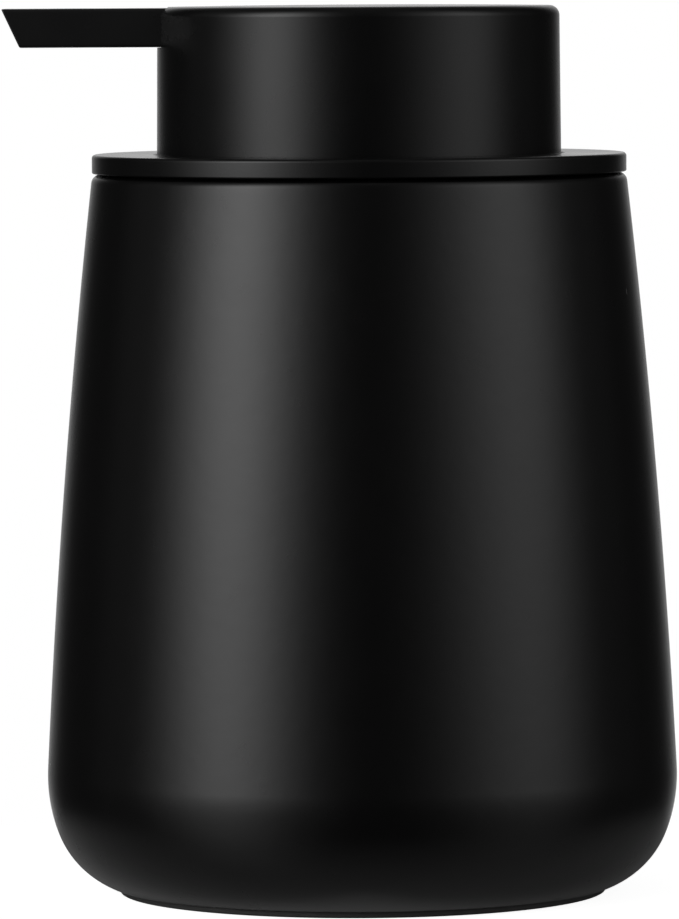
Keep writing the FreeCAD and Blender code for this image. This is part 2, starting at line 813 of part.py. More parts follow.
def make_actuator_core():
    """Socket for the stem, with the outlet ball's chamber above it and the spout's port."""
    body = turned_body("actuator_core", [
        Corner("0", "stop_z"),
        Corner("stop_pin_radius", "stop_z"),
        Corner("stop_pin_radius", "chamber_top"),
        Corner("chamber_radius", "chamber_top"),
        Corner("chamber_radius", "stem_top"),
        Corner("stem_socket", "stem_top"),
        Corner("stem_socket", "core_z"),
        Corner("neck_radius", "core_z"),
        Corner("neck_radius", "hub_z"),
        Corner("hub_radius", "hub_z", rounding="hub_round"),
        Corner("hub_radius", "ceiling_z"),
        Corner("0", "ceiling_z"),
    ])
    channel = make_sketch(body, "port_channel_circle", "YZ_Plane")
    draw_circle(channel, "0", "channel_z", "channel_radius")
    cut(body, "port_channel", channel, "2 * hub_radius")
    port = make_sketch(body, "port_circle", "YZ_Plane", "-port_depth")
    draw_circle(port, "0", "channel_z", "tube_radius + port_fit")
    cut(body, "port", port, "2 * hub_radius")
    return body


def make_spout_seal():
    """Washer between the end of the spout's tube and the floor of the port."""
    body = make_body("spout_seal")
    sketch = make_sketch(body, "washer_circles", "YZ_Plane", "-port_depth")
    draw_circle(sketch, "0", "channel_z", "tube_radius")
    draw_circle(sketch, "0", "channel_z", "channel_radius")
    pad = body.newObject("PartDesign::Pad", "washer")
    pad.Profile = sketch
    pad.Reversed = True
    pad.setExpression("Length", sized("washer_thickness"))
    return body


def make_spout():
    """Flat bar with a slanted end, a retaining flange inside the shell and a tube to the port."""
    body = make_body("spout")
    side = make_sketch(body, "spout_side", "XZ_Plane")
    draw_outline(side, [
        Corner("-spout_root", "spout_z"),
        Corner("-spout_root", "spout_ledge"),
        Corner("-spout_notch", "spout_ledge"),
        Corner("-spout_notch", "spout_top"),
        Corner("-spout_reach", "spout_top"),
        Corner("spout_slant - spout_reach", "spout_z"),
    ])
    bar = body.newObject("PartDesign::Pad", "spout_bar")
    bar.Profile = side
    bar.Midplane = True
    bar.setExpression("Length", sized("spout_width"))
    document.recompute()
    rounding = body.newObject("PartDesign::Fillet", "spout_rounding")
    rounding.Base = (bar, long_edges(bar.Shape, value("spout_notch")))
    rounding.setExpression("Radius", sized("spout_round"))
    document.recompute()
    flange = make_sketch(body, "retainer_outline", "YZ_Plane", "-spout_root - spout_fit")
    draw_outline(flange, [
        Corner("-retainer_width / 2", "retainer_z"),
        Corner("retainer_width / 2", "retainer_z"),
        Corner("retainer_width / 2", "retainer_top"),
        Corner("-retainer_width / 2", "retainer_top"),
    ])
    retainer = body.newObject("PartDesign::Pad", "retainer")
    retainer.Profile = flange
    retainer.setExpression("Length", sized("retainer_thickness"))
    document.recompute()
    outside = make_sketch(body, "tube_circle", "YZ_Plane", "-spout_root")
    draw_circle(outside, "0", "channel_z", "tube_radius")
    tube = body.newObject("PartDesign::Pad", "tube")
    tube.Profile = outside
    tube.setExpression("Length", sized("spout_root - port_depth - washer_thickness"))
    document.recompute()
    inside = make_sketch(body, "channel_circle", "YZ_Plane")
    draw_circle(inside, "0", "channel_z", "channel_radius")
    cut(body, "channel", inside)
    mouth = make_sketch(body, "nozzle_circle", "YZ_Plane", "spout_slant + nozzle_depth - spout_reach")
    draw_circle(mouth, "0", "channel_z", "nozzle_radius")
    cut(body, "nozzle", mouth, "2 * spout_slant + nozzle_depth")
    return body


def long_edges(shape, beyond):
    """Return the names of the edges along X that reach out further than the given distance."""
    names = []
    for number, edge in enumerate(shape.Edges, start=1):
        start, end = edge.Vertexes[0].Point, edge.Vertexes[-1].Point
        along_x = abs(start.y - end.y) < 1e-6 and abs(start.z - end.z) < 1e-6
        if along_x and min(start.x, end.x) < -beyond:
            names.append(f"Edge{number}")
    return names


def make_head_shell():
    """Plunging cylinder: thin walls, a ring that grips the core, and a notch for the spout."""
    body = turned_body("head_shell", [
        Corner("0", "ceiling_z"),
        Corner("grip_bore", "ceiling_z"),
        Corner("grip_bore", "grip_z"),
        Corner("grip_radius", "grip_z"),
        Corner("grip_radius", "ceiling_z"),
        Corner("shell_radius - head_draft", "ceiling_z", rounding="head_inner_round"),
        Corner("shell_radius", "shell_z"),
        Corner("head_radius", "shell_z", rounding="head_foot_round"),
        Corner("head_top_radius", "head_top", rounding="head_round", bow="head_bow"),
        Corner("0", "head_crest"),
    ])
    notch = make_sketch(body, "notch_side", "XZ_Plane")
    draw_outline(notch, [
        Corner("-notch_outside", "spout_z - spout_fit"),
        Corner("spout_fit - spout_root", "spout_z - spout_fit"),
        Corner("spout_fit - spout_root", "ceiling_z"),
        Corner("spout_fit - spout_notch", "ceiling_z"),
        Corner("spout_fit - spout_notch", "notch_above"),
        Corner("-notch_outside", "notch_above"),
    ])
    cut(body, "spout_notch_cut", notch, "spout_width + 2 * spout_fit", midplane=True)
    passage = make_sketch(body, "tube_passage_circle", "YZ_Plane")
    draw_circle(passage, "0", "channel_z", "tube_radius + spout_fit")
    cut(body, "tube_passage", passage, "spout_root")
    return body


def check(parts):
    """Stop if any object of the document failed or any sub-part is not one good solid."""
    for item in document.Objects:
        if "Invalid" in item.State or "Error" in item.State:
            raise RuntimeError(f"{item.Name} is {item.State}")
    for part in parts:
        shape = part.Shape
        if shape.isNull() or not shape.isValid():
            raise RuntimeError(f"{part.Label} has no valid shape")
        if len(shape.Solids) != 1:
            raise RuntimeError(f"{part.Label} has {len(shape.Solids)} solids")


def main():
    """Build every sub-part and write one STEP file for each."""
    parts = [
        make_jar(),
        make_base_pad(),
        make_lid_disc(),
        make_guide_cup(),
        make_mouth_seal(),
        make_pump_gasket(),
        make_pump_housing(),
        make_lock_nut(),
        make_stem_guide(),
        make_stem_wiper(),
        make_ball_cage(),
        make_ball("inlet_ball", "inlet_ball_radius", "inlet_ball_z"),
        make_dip_tube(),
        make_return_spring(),
        make_piston(),
        make_stem(),
        make_ball("outlet_ball", "outlet_ball_radius", "outlet_ball_z"),
        make_actuator_core(),
        make_spout(),
        make_spout_seal(),
        make_head_shell(),
    ]
    document.recompute()
    check(parts)
    os.makedirs("parts", exist_ok=True)
    for part in parts:
        part.Shape.exportStep(os.path.join("parts", part.Label + ".step"))
        bounds = part.Shape.optimalBoundingBox(True, False)
        print(f"{part.Label:14s} {part.Shape.Volume:10.2f} mm3, z {bounds.ZMin:7.3f} to {bounds.ZMax:7.3f}")


main()
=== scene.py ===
"""Finish, light and stage for the soap pump dispenser, built around its packed construction model.

Every length is in metres, in the model's own frame: +Z up, the origin under the middle of the base
pad, the spout towards -X. Each sub-assembly is a class that shapes its pieces and dresses them.
"""

import logging
import math
from abc import ABC, abstractmethod
from dataclasses import dataclass, field
from enum import Enum
from typing import Callable, Optional, Sequence

import bmesh
import bpy
from mathutils import Matrix, Vector


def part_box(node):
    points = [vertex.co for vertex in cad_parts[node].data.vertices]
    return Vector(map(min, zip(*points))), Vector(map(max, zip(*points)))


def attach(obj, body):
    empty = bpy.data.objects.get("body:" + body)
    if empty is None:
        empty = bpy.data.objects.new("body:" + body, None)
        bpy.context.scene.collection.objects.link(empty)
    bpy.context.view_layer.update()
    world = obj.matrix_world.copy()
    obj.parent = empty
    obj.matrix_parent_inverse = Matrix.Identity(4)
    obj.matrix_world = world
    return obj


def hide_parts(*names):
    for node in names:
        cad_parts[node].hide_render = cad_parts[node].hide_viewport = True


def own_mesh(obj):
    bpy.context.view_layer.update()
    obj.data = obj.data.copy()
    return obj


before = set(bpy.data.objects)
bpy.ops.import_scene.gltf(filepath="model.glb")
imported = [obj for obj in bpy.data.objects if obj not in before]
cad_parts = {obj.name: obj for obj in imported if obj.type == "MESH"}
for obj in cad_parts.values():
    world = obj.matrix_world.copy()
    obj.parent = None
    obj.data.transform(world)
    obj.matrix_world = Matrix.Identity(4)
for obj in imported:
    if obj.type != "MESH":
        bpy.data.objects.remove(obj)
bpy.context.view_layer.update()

LOG = logging.getLogger("soap_pump_dispenser")
MM = 0.001
TURN = 2 * math.pi
WELD = 1e-7
SHARP_DEGREES = 40.0
PLAIN_ROUNDS = 5
FINE_ROUNDS = 8
UP = Vector((0, 0, 1))
CENTRE = Vector((0, 0, 0))

WHITE = (1.0, 1.0, 1.0, 1.0)

Colour = tuple[float, float, float]
Node = bpy.types.Node
Socket = bpy.types.NodeSocket
Mesh = bmesh.types.BMesh


class Body(Enum):
    """Rigid bodies of the construction model that a group of new pieces rides on."""

    JAR = "jar"
    LID = "lid"
    HEAD = "head"


class Fineness(Enum):
    """Number of facets round a turned piece."""

    SHOWN = 256
    INNER = 128
    SMALL = 64
    FINE = 32


@dataclass(frozen=True)
class Turn:
    """One corner of a turned outline.

    Attributes:
        radius: distance from the axis.
        height: height above the base.
        rounding: radius of its rounding, 0 for a sharp corner.
    """

    radius: float
    height: float
    rounding: float = 0.0


@dataclass(frozen=True)
class Run:
    """One stretch of a winding.

    Attributes:
        turns: number of turns.
        rise: how far it climbs.
    """

    turns: float
    rise: float


@dataclass(frozen=True)
class Grain:
    """A noise field over a piece's own space.

    Attributes:
        scale: grains per metre.
        detail: octaves.
        roughness: share of the finer octaves.
    """

    scale: float
    detail: float
    roughness: float = 0.5


@dataclass(frozen=True)
class Relief:
    """A noise field that stands out of a surface.

    Attributes:
        grain: the field.
        depth: how far its highest points stand above its lowest.
    """

    grain: Grain
    depth: float


# --- Shader graph helper ---


class Graph:
    """Small helper that adds and joins the shader nodes of one material or world."""

    def __init__(self, owner: "bpy.types.Material | bpy.types.World") -> None:
        """Start with the owner's tree emptied."""
        owner.use_nodes = True
        self.tree = owner.node_tree
        self.tree.nodes.clear()

    def join(self, source: "Socket | float | Sequence[float]", target: Socket) -> None:
        """Feed an input.

        Args:
            source: an output to join it to, or the number or row of numbers to set it to.
            target: the input.
        """
        if isinstance(source, Socket):
            self.tree.links.new(source, target)
        else:
            target.default_value = source

    def add(self, kind: str, *sources: "Socket | float | Sequence[float]", **settings: object) -> Node:
        """Add a node.

        Args:
            kind: the node's type name.
            *sources: what its first inputs are joined or set to, in order.
            **settings: attributes of the node, or else values of the inputs of that name.

        Returns:
            The new node.
        """
        node = self.tree.nodes.new(kind)
        for name, setting in settings.items():
            if hasattr(node, name):
                setattr(node, name, setting)
            else:
                node.inputs[name.capitalize()].default_value = setting
        for source, target in zip(sources, node.inputs):
            self.join(source, target)
        return node

    def place(self) -> Socket:
        """Return the object coordinates' socket."""
        return self.add("ShaderNodeTexCoord").outputs["Object"]

    def noise(self, grain: Grain) -> Socket:
        """Return the value of a noise field."""
        return self.add("ShaderNodeTexNoise", self.place(), **vars(grain)).outputs["Fac"]

    def remap(
        self, source: Socket, low: float, high: float, start: float = 0.0, end: float = 1.0,
        smooth: bool = False,
    ) -> Socket:
        """Map a value from start..end to low..high, held at both ends.

        Args:
            source: the value.
            low: result at start.
            high: result at end.
            start: value at which the result is low.
            end: value at which it is high.
            smooth: whether the result starts and ends its change gently.

        Returns:
            The mapped value.
        """
        kind = "SMOOTHSTEP" if smooth else "LINEAR"
        ends = (start, end, low, high)
        node = self.add("ShaderNodeMapRange", source, *ends, clamp=True, interpolation_type=kind)
        return node.outputs["Result"]

    def maths(self, operation: str, first: "Socket | float", second: "Socket | float" = 0.0) -> Socket:
        """Return the result of one operation on one or two values."""
        return self.add("ShaderNodeMath", first, second, operation=operation).outputs["Value"]

    def blend_colours(self, share: Socket, first: Colour, second: Colour) -> Socket:
        """Return a colour between two colours.

        Args:
            share: share of the second.
            first: one colour.
            second: the other.

        Returns:
            The blended colour.
        """
        node = self.add("ShaderNodeMix", share, data_type="RGBA")
        sockets = [item for item in node.inputs if item.type == "RGBA"]
        for socket, colour in zip(sockets, (first, second)):
            socket.default_value = (*colour, 1.0)
        return next(item for item in node.outputs if item.type == "RGBA")

    def blend_shaders(self, share: Socket, first: Socket, second: Socket) -> Socket:
        """Return a shader between two shaders."""
        return self.add("ShaderNodeMixShader", share, first, second).outputs["Shader"]

    def bump(self, height: Socket, depth: float, under: Optional[Socket] = None) -> Socket:
        """Return a normal bent by a height field.

        Args:
            height: the field, from 0 to 1.
            depth: how far 1 stands above 0.
            under: a normal to bend further.

        Returns:
            The normal.
        """
        node = self.add("ShaderNodeBump", strength=1.0, distance=depth)
        self.join(height, node.inputs["Height"])
        if under is not None:
            self.join(under, node.inputs["Normal"])
        return node.outputs["Normal"]

    def emboss(self, relief: Relief, under: Optional[Socket] = None) -> Socket:
        """Return a normal bent by a relief, over another normal if one is given."""
        return self.bump(self.noise(relief.grain), relief.depth, under)


# --- Finishes ---


@dataclass(frozen=True)
class Finish:
    """A surface finish that makes its own material, its colour and gloss varied in clouds.

    Attributes:
        name: the material's name.
        colour: main colour, linear red, green and blue.
        cloud: second colour, in the middle of the clouds.
        roughness_low: roughness where the sheen's field is low.
        roughness_high: roughness where it is high.
        clouds: the field of clouds.
        skin: the relief of the surface.
        sheen: the field of the gloss, if it isn't that of the clouds.
        sheen_start: value of that field at which the roughness starts to rise.
        sheen_end: value at which it is high.
        specular: strength of the mirroring at the surface.
    """

    name: str
    colour: Colour
    cloud: Colour
    roughness_low: float
    roughness_high: float
    clouds: Grain
    skin: Relief
    sheen: Optional[Grain] = None
    sheen_start: float = 0.3
    sheen_end: float = 0.7
    specular: float = 0.5

    def material(self) -> bpy.types.Material:
        """Return the finish's material, made on first use."""
        found = bpy.data.materials.get(self.name)
        if found is not None:
            return found
        made = bpy.data.materials.new(self.name)
        made.diffuse_color = (*self.colour, 1.0)
        graph = Graph(made)
        shader = graph.add("ShaderNodeBsdfPrincipled")
        graph.add("ShaderNodeOutputMaterial", shader.outputs["BSDF"])
        self.dress(graph, shader)
        return made

    def dress(self, graph: Graph, shader: Node) -> None:
        """Cloud the colour, vary the gloss and bend the normal.

        Args:
            graph: the material's graph.
            shader: its main shader.
        """
        clouds = graph.noise(self.clouds)
        sheen = graph.noise(self.sheen) if self.sheen else clouds
        gloss = graph.remap(sheen, self.roughness_low, self.roughness_high, self.sheen_start, self.sheen_end)
        graph.join(graph.blend_colours(clouds, self.colour, self.cloud), shader.inputs["Base Color"])
        graph.join(gloss, shader.inputs["Roughness"])
        graph.join(self.specular, shader.inputs["Specular IOR Level"])
        graph.join(self.surface(graph), shader.inputs["Normal"])

    def surface(self, graph: Graph) -> Socket:
        """Return the normal, bent by the skin's relief."""
        return graph.emboss(self.skin)


@dataclass(frozen=True)
class SatinGlaze(Finish):
    """Satin black glaze on stoneware: soft mottling, a faint orange peel, sand and a few pinholes."""

    cloud: Colour = (0.0019, 0.0018, 0.0018)
    roughness_low: float = 0.24
    roughness_high: float = 0.29
    clouds: Grain = Grain(55.0, 4.0, 0.55)
    skin: Relief = Relief(Grain(520.0, 3.0), 0.010 * MM)
    sheen: Optional[Grain] = Grain(260.0, 5.0)
    sheen_start: float = 0.0
    sheen_end: float = 1.0
    specular: float = 0.45
    sand: Relief = Relief(Grain(2600.0, 2.0), 0.0022 * MM)
    pit_scale: float = 120.0
    pit_radius: float = 0.05
    pit_share: float = 0.03
    pit_depth: float = 0.12 * MM

    def surface(self, graph: Graph) -> Socket:
        """Return the normal, bent by the peel, then by sand and by pinholes in some of the cells."""
        cells = graph.add("ShaderNodeTexVoronoi", graph.place(), feature="F1", scale=self.pit_scale)
        parts = graph.add("ShaderNodeSeparateColor", cells.outputs["Color"])
        chosen = graph.maths("LESS_THAN", parts.outputs["Red"], self.pit_share)
        hollow = graph.remap(cells.outputs["Distance"], 1.0, 0.0, 0.0, self.pit_radius)
        raised = graph.maths("SUBTRACT", 1.0, graph.maths("MULTIPLY", hollow, chosen))
        return graph.bump(raised, self.pit_depth, graph.emboss(self.sand, super().surface(graph)))


@dataclass(frozen=True)
class SatinCoat(Finish):
    """Even satin coat on metal or plastic, with a very fine powder grain."""

    cloud: Colour = (0.0020, 0.0020, 0.0020)
    roughness_low: float = 0.25
    roughness_high: float = 0.30
    clouds: Grain = Grain(90.0, 4.0)
    skin: Relief = Relief(Grain(3200.0, 2.0), 0.0025 * MM)
    specular: float = 0.42


@dataclass(frozen=True)
class MouldedPlastic(Finish):
    """Moulded plastic with flow clouds and a spark-eroded skin.

    Attributes:
        clearness: share of light scattered under the skin.
        scatter_depth: how deep it scatters.
    """

    roughness_low: float = 0.38
    roughness_high: float = 0.5
    clouds: Grain = Grain(70.0, 3.0)
    skin: Relief = Relief(Grain(1800.0, 3.0), 0.004 * MM)
    clearness: float = 0.0
    scatter_depth: float = 1.2 * MM

    def dress(self, graph: Graph, shader: Node) -> None:
        """Scatter light under the skin."""
        super().dress(graph, shader)
        graph.join(self.clearness, shader.inputs["Subsurface Weight"])
        graph.join(self.scatter_depth, shader.inputs["Subsurface Scale"])


@dataclass(frozen=True)
class SoftRubber(Finish):
    """Silicone or soft rubber: dull, with a dusty grain; the foot pad's is lightened as a painted reflection
    of the floor.
    """

    cloud: Colour = (0.022, 0.022, 0.021)
    roughness_low: float = 0.55
    roughness_high: float = 0.75
    clouds: Grain = Grain(420.0, 6.0, 0.65)
    skin: Relief = Relief(Grain(420.0, 6.0, 0.65), 0.008 * MM)


@dataclass(frozen=True)
class DrawnSteel(Finish):
    """Bright stainless steel, tarnished in fine draw marks."""

    cloud: Colour = (0.42, 0.41, 0.40)
    roughness_low: float = 0.16
    roughness_high: float = 0.3
    clouds: Grain = Grain(1500.0, 4.0)
    skin: Relief = Relief(Grain(1500.0, 4.0), 0.003 * MM)

    def dress(self, graph: Graph, shader: Node) -> None:
        """Make it metal."""
        super().dress(graph, shader)
        graph.join(1.0, shader.inputs["Metallic"])


BLACK_GLAZE = SatinGlaze("satin_black_glaze", (0.0009, 0.0009, 0.0010))
BLACK_COAT = SatinCoat("satin_black_powder_coat", (0.0010, 0.0010, 0.0011))
SOFT_TOUCH = SatinCoat("soft_touch_black", (0.0010, 0.0010, 0.0011))
MATT_ABS = SatinCoat("matt_black_abs", (0.0080, 0.0080, 0.0082), (0.0095, 0.0095, 0.0096))
BLACK_PLASTIC = MouldedPlastic("black_polypropylene", (0.012, 0.012, 0.012), (0.017, 0.017, 0.017))
PALE_PLASTIC = MouldedPlastic("natural_polypropylene", (0.70, 0.71, 0.69), (0.78, 0.79, 0.77), clearness=0.35)
TUBE_PLASTIC = MouldedPlastic("natural_polyethylene", (0.74, 0.75, 0.74), (0.80, 0.81, 0.80), clearness=0.6)
BLACK_SILICONE = SoftRubber("black_silicone", (0.010, 0.010, 0.010))
# Pad rubber lightened from near black so that the base shows a lighter band: a painted reflection of the
# floor, not the rubber's own grey.
PAD_RUBBER_PAINTED_REFLECTION = SoftRubber("pad_rubber_painted_reflection", (0.030, 0.030, 0.030), (0.042, 0.042, 0.041))
PALE_RUBBER = SoftRubber("pale_soft_washer", (0.62, 0.62, 0.59), (0.70, 0.70, 0.67))
BRIGHT_STEEL = DrawnSteel("stainless_steel", (0.58, 0.57, 0.56))


# --- Shaping tools ---


def on_arc(centre: Turn, radius: float, angle: float) -> Turn:
    """Return the corner at an angle on a circle in the outline's plane."""
    return Turn(centre.radius + radius * math.cos(angle), centre.height + radius * math.sin(angle))


def bowed(start: Turn, end: Turn, bow: float, steps: int) -> list[Turn]:
    """Return the corners between two corners along an arc that bulges away from the axis.

    Args:
        start: the arc's lower end.
        end: the arc's upper end.
        bow: the arc's radius.
        steps: number of spans.

    Returns:
        The corners between the two ends, without them.
    """
    run, rise = end.radius - start.radius, end.height - start.height
    chord = math.hypot(run, rise)
    back = math.sqrt(bow ** 2 - chord ** 2 / 4) / chord
    across = (start.radius + end.radius) / 2 - rise * back
    up = (start.height + end.height) / 2 + run * back
    first, last = (math.atan2(turn.height - up, turn.radius - across) for turn in (start, end))
    angles = [first + (last - first) * step / steps for step in range(1, steps)]
    return [on_arc(Turn(across, up), bow, angle) for angle in angles]


def eased(outline: Sequence[Turn], steps: int) -> list[Vector]:
    """Replace each rounded corner of a turned outline by an arc.

    Args:
        outline: corners in order.
        steps: spans across each rounding.

    Returns:
        The outline's points, with radius as X and height as Z.
    """
    points = [Vector((turn.radius, 0.0, turn.height)) for turn in outline]
    made: list[Vector] = []
    for index, (turn, point) in enumerate(zip(outline, points)):
        if turn.rounding <= 0:
            made.append(point)
            continue
        before = (points[index - 1] - point).normalized()
        after = (points[(index + 1) % len(points)] - point).normalized()
        half = before.angle(after) / 2
        centre = point + (before + after).normalized() * (turn.rounding / math.sin(half))
        reach = turn.rounding / math.tan(half)
        first, last = point + before * reach - centre, point + after * reach - centre
        for step in range(steps + 1):
            made.append(centre + first.slerp(last, step / steps).normalized() * turn.rounding)
    return made


def outward(mesh: Mesh) -> Mesh:
    """Return a closed mesh with its faces turned outwards."""
    bmesh.ops.recalc_face_normals(mesh, faces=mesh.faces)
    return mesh


def turned(
    outline: Sequence[Turn], fineness: Fineness = Fineness.SHOWN, rounds: int = PLAIN_ROUNDS
) -> Mesh:
    """Spin an outline about the vertical axis.

    Args:
        outline: corners in order; an outline that doesn't reach the axis at both ends is closed.
        fineness: facets round the piece.
        rounds: facets across each rounding.

    Returns:
        The closed mesh, its faces pointing outwards.
    """
    mesh = bmesh.new()
    points = [mesh.verts.new(point) for point in eased(outline, rounds)]
    sides = [mesh.edges.new(pair) for pair in zip(points, points[1:])]
    if outline[0].radius > WELD or outline[-1].radius > WELD:
        sides.append(mesh.edges.new((points[-1], points[0])))
    bmesh.ops.spin(
        mesh, geom=points + sides, cent=CENTRE, axis=UP, dvec=CENTRE, angle=TURN,
        steps=fineness.value, use_merge=True, use_duplicate=False,
    )
    bmesh.ops.remove_doubles(mesh, verts=mesh.verts, dist=WELD)
    return outward(mesh)


def wound(section: Sequence[Vector], runs: Sequence[Run]) -> Mesh:
    """Wind a closed section round the axis, such as a spring's wire or a thread's ridge.

    Args:
        section: the section's corners in the XZ plane, at the winding's lower end.
        runs: the stretches of the winding in order.

    Returns:
        The closed winding.
    """
    mesh = bmesh.new()
    points = [mesh.verts.new(point) for point in section]
    front = points + [mesh.edges.new((points[index - 1], points[index])) for index in range(len(points))]
    for run in runs:
        steps = round(run.turns * Fineness.SMALL.value)
        spun = bmesh.ops.spin(
            mesh, geom=front, cent=CENTRE, axis=UP, dvec=(0, 0, run.rise / steps), angle=TURN * run.turns,
            steps=steps, use_merge=False, use_duplicate=False,
        )
        front = spun["geom_last"]
    bmesh.ops.holes_fill(mesh, edges=[edge for edge in mesh.edges if edge.is_boundary], sides=0)
    return outward(mesh)


def merged(meshes: Sequence[Mesh]) -> Mesh:
    """Gather several meshes into one.

    Args:
        meshes: the meshes; all but the first are freed.

    Returns:
        The first, which holds them all.
    """
    whole = meshes[0]
    for extra in meshes[1:]:
        spare = bpy.data.meshes.new("spare")
        extra.to_mesh(spare)
        extra.free()
        whole.from_mesh(spare)
        bpy.data.meshes.remove(spare)
    return whole


def rod(radius: float, start: Vector, end: Vector, fineness: Fineness) -> Mesh:
    """Return a closed cylinder between two points.

    Args:
        radius: its radius.
        start: the middle of one end.
        end: the middle of the other.
        fineness: facets round it.

    Returns:
        The cylinder.
    """
    mesh = bmesh.new()
    way = end - start
    bmesh.ops.create_cone(
        mesh, cap_ends=True, segments=fineness.value, radius1=radius, radius2=radius, depth=way.length
    )
    turn = way.to_track_quat("Z", "Y").to_matrix()
    bmesh.ops.rotate(mesh, verts=mesh.verts, cent=CENTRE, matrix=turn)
    bmesh.ops.translate(mesh, verts=mesh.verts, vec=(start + end) / 2)
    return mesh


def prism(outline: Sequence[tuple[float, float]], width: float) -> Mesh:
    """Extrude a side outline to both sides of the middle plane.

    Args:
        outline: its corners, each an X and a Z.
        width: how wide the whole becomes along Y.

    Returns:
        The closed prism.
    """
    mesh = bmesh.new()
    points = [mesh.verts.new((across, -width / 2, up)) for across, up in outline]
    face = mesh.faces.new(points)
    pulled = bmesh.ops.extrude_face_region(mesh, geom=[face])["geom"]
    moved = [item for item in pulled if isinstance(item, bmesh.types.BMVert)]
    bmesh.ops.translate(mesh, verts=moved, vec=(0, width, 0))
    return outward(mesh)


def soften(mesh: Mesh, chosen: Callable[[bmesh.types.BMEdge], bool], reach: float) -> None:
    """Round some edges of a mesh.

    Args:
        mesh: the mesh.
        chosen: says whether an edge is rounded.
        reach: how far the rounding reaches from the edge.
    """
    edges = [edge for edge in mesh.edges if chosen(edge)]
    bmesh.ops.bevel(
        mesh, geom=edges, offset=reach, offset_type="OFFSET", segments=PLAIN_ROUNDS, profile=0.5,
        affect="EDGES", material=-1,
    )


def carved(blank: Mesh, cutters: Sequence[Mesh], extras: Sequence[Mesh] = ()) -> Mesh:
    """Join closed shapes to a closed blank, then cut others out of it.

    Args:
        blank: the mesh to work on; like the others, it is freed.
        cutters: shapes to take away.
        extras: shapes to join first.

    Returns:
        The finished mesh.
    """
    piece = linked("blank", blank)
    tools = [(linked("extra", extra), "UNION") for extra in extras]
    tools += [(linked("cutter", cutter), "DIFFERENCE") for cutter in cutters]
    for tool, operation in tools:
        step = piece.modifiers.new(tool.name, "BOOLEAN")
        step.operation = operation
        step.solver = "EXACT"
        step.object = tool
    finished = bmesh.new()
    finished.from_object(piece, bpy.context.evaluated_depsgraph_get())
    for spent in [piece] + [tool for tool, _ in tools]:
        data = spent.data
        bpy.data.objects.remove(spent)
        bpy.data.meshes.remove(data)
    return finished


def linked(name: str, mesh: Mesh) -> bpy.types.Object:
    """Put a mesh in the scene.

    Args:
        name: the new object's name.
        mesh: its shape, which is freed.

    Returns:
        The object, at the origin.
    """
    data = bpy.data.meshes.new(name)
    mesh.to_mesh(data)
    mesh.free()
    piece = bpy.data.objects.new(name, data)
    bpy.context.scene.collection.objects.link(piece)
    return piece


def smoothed(piece: bpy.types.Object) -> None:
    """Shade a piece smooth between its sharp edges, with face-weighted normals.

    Args:
        piece: the piece.
    """
    for polygon in piece.data.polygons:
        polygon.use_smooth = True
    piece.data.set_sharp_from_angle(angle=math.radians(SHARP_DEGREES))
    weights = piece.modifiers.new("weighted_normals", "WEIGHTED_NORMAL")
    weights.keep_sharp = True


# --- Sub-assemblies ---


@dataclass
class Assembly(ABC):
    """A group of pieces that are shaped, dressed and set on their bodies together."""

    body: Body
    made: list[str] = field(default_factory=list)

    @abstractmethod
    def build(self) -> None:
        """Shape and dress every piece of the group."""

    def settle(self, name: str, mesh: Mesh, finish: Finish, node: str) -> bpy.types.Object:
        """Turn a mesh into a dressed piece that stands for a construction node.

        Args:
            name: the piece's name.
            mesh: its shape, which is freed.
            finish: its finish.
            node: the construction node that it stands for, which is hidden.

        Returns:
            The piece.
        """
        piece = linked(name, mesh)
        smoothed(piece)
        self.cover(piece, finish)
        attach(piece, self.body.value)
        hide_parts(node)
        self.made.append(name)
        return piece

    def coat(self, finish: Finish, *nodes: str) -> None:
        """Give construction nodes that stay in view their finish.

        Args:
            finish: the finish.
            *nodes: names of the nodes.
        """
        for name in nodes:
            self.cover(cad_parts[name], finish)
            self.made.append(name)

    def cover(self, piece: bpy.types.Object, finish: Finish) -> None:
        """Make a finish the only material of a piece."""
        piece.data.materials.clear()
        piece.data.materials.append(finish.material())


